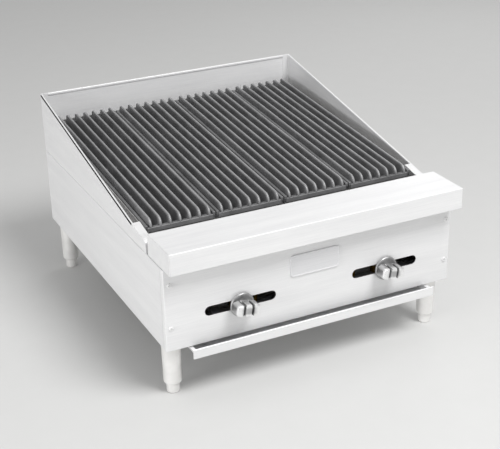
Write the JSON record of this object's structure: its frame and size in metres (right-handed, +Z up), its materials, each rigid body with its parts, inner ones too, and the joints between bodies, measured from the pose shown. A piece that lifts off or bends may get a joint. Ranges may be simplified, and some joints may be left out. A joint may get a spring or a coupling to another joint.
{
  "type": "countertop gas charbroiler",
  "caption": "Countertop gas charbroiler with sloped cast grates, a three-sided splash guard, a landing ledge, knobs in long lighting slots, a pull-out drip tray and adjustable legs.",
  "frame": {"origin": "centre of the bounding box, on the countertop", "axes": "+X to the right as seen by the cook, +Y to the back, +Z up; the front faces -Y"},
  "size_m": [0.6096, 0.737, 0.404],
  "materials": {
    "stainless_sheet": "fine lengthwise brushed stainless",
    "nameplate_metal": "satin plate with a polished rim",
    "plated_screw": "bright plated",
    "plated_steel": "satin nickel plate",
    "aluminised_sheet": "dull aluminised, lightly heat stained",
    "seasoned_iron": "dark seasoned casting",
    "grey_iron": "rough grey casting",
    "black_pipe": "black lacquered iron pipe",
    "brass": "machined",
    "soft_tube": "drawn tube",
    "knob_metal": "satin die-cast"
  },
  "bodies": {
    "chassis": {"side_panel_left": "stainless_sheet", "side_panel_right": "stainless_sheet", "front_panel": "stainless_sheet", "back_panel": "stainless_sheet", "front_crossmember": "stainless_sheet", "rear_crossmember": "stainless_sheet", "landing_ledge": "stainless_sheet", "guard_left": "stainless_sheet", "guard_right": "stainless_sheet", "guard_back": "stainless_sheet", "nameplate": "nameplate_metal", "panel_screws": "plated_screw", "leg_plates": "plated_steel", "leg_bolts": "plated_screw", "leg_front_left": "plated_steel", "leg_front_right": "plated_steel", "leg_rear_left": "plated_steel", "leg_rear_right": "plated_steel", "liner_left": "aluminised_sheet", "liner_right": "aluminised_sheet", "liner_front": "aluminised_sheet", "liner_rear": "aluminised_sheet", "grease_deflectors": "aluminised_sheet", "grate_rest_front": "aluminised_sheet", "grate_rest_rear": "aluminised_sheet", "grease_trough": "seasoned_iron", "radiant_1": "grey_iron", "radiant_2": "grey_iron", "radiant_3": "grey_iron", "radiant_4": "grey_iron", "radiant_rests": "aluminised_sheet", "burner_left": "grey_iron", "burner_right": "grey_iron", "burner_rests": "aluminised_sheet", "manifold_pipe": "black_pipe", "manifold_fittings": "black_pipe", "manifold_saddles": "aluminised_sheet", "supply_pipe": "black_pipe", "gas_valves": "brass", "orifices": "brass", "pilot_valves": "brass", "pilot_tubes": "soft_tube", "pilot_burners": "soft_tube", "tray_rails": "stainless_sheet"},
    "knob_left": {"knob_left": "knob_metal", "valve_stem_left": "brass"},
    "knob_right": {"knob_right": "knob_metal", "valve_stem_right": "brass"},
    "air_shutter_left": {"air_shutter_left": "aluminised_sheet"},
    "air_shutter_right": {"air_shutter_right": "aluminised_sheet"},
    "grate_1": {"grate_1": "seasoned_iron"},
    "grate_2": {"grate_2": "seasoned_iron"},
    "grate_3": {"grate_3": "seasoned_iron"},
    "grate_4": {"grate_4": "seasoned_iron"},
    "drip_tray": {"drip_tray": "stainless_sheet"},
    "foot_front_left": {"foot_front_left": "plated_steel"},
    "foot_front_right": {"foot_front_right": "plated_steel"},
    "foot_rear_left": {"foot_rear_left": "plated_steel"},
    "foot_rear_right": {"foot_rear_right": "plated_steel"}
  },
  "joints": [
    {"name": "knob_left_turn", "type": "hinge", "parent": "chassis", "child": "knob_left", "pos_m": [-0.1545, -0.3435, 0.17], "axis": [0, -1, 0], "range_deg": [0, 90]},
    {"name": "knob_right_turn", "type": "hinge", "parent": "chassis", "child": "knob_right", "pos_m": [0.1545, -0.3435, 0.17], "axis": [0, -1, 0], "range_deg": [0, 90]},
    {"name": "air_shutter_left_turn", "type": "hinge", "parent": "chassis", "child": "air_shutter_left", "pos_m": [-0.1545, -0.2685, 0.17], "axis": [0, -1, 0], "range_deg": [0, 60]},
    {"name": "air_shutter_right_turn", "type": "hinge", "parent": "chassis", "child": "air_shutter_right", "pos_m": [0.1545, -0.2685, 0.17], "axis": [0, -1, 0], "range_deg": [0, 60]},
    {"name": "grate_1_lift", "type": "slide", "parent": "chassis", "child": "grate_1", "axis": [0, 0, 1], "range_m": [0, 0.12]},
    {"name": "grate_2_lift", "type": "slide", "parent": "chassis", "child": "grate_2", "axis": [0, 0, 1], "range_m": [0, 0.12]},
    {"name": "grate_3_lift", "type": "slide", "parent": "chassis", "child": "grate_3", "axis": [0, 0, 1], "range_m": [0, 0.12]},
    {"name": "grate_4_lift", "type": "slide", "parent": "chassis", "child": "grate_4", "axis": [0, 0, 1], "range_m": [0, 0.12]},
    {"name": "drip_tray_slide", "type": "slide", "parent": "chassis", "child": "drip_tray", "axis": [0, -1, 0], "range_m": [0, 0.45]},
    {"name": "foot_front_left_screw", "type": "slide", "parent": "chassis", "child": "foot_front_left", "axis": [0, 0, -1], "range_m": [0, 0.025]},
    {"name": "foot_front_right_screw", "type": "slide", "parent": "chassis", "child": "foot_front_right", "axis": [0, 0, -1], "range_m": [0, 0.025]},
    {"name": "foot_rear_left_screw", "type": "slide", "parent": "chassis", "child": "foot_rear_left", "axis": [0, 0, -1], "range_m": [0, 0.025]},
    {"name": "foot_rear_right_screw", "type": "slide", "parent": "chassis", "child": "foot_rear_right", "axis": [0, 0, -1], "range_m": [0, 0.025]}
  ]
}
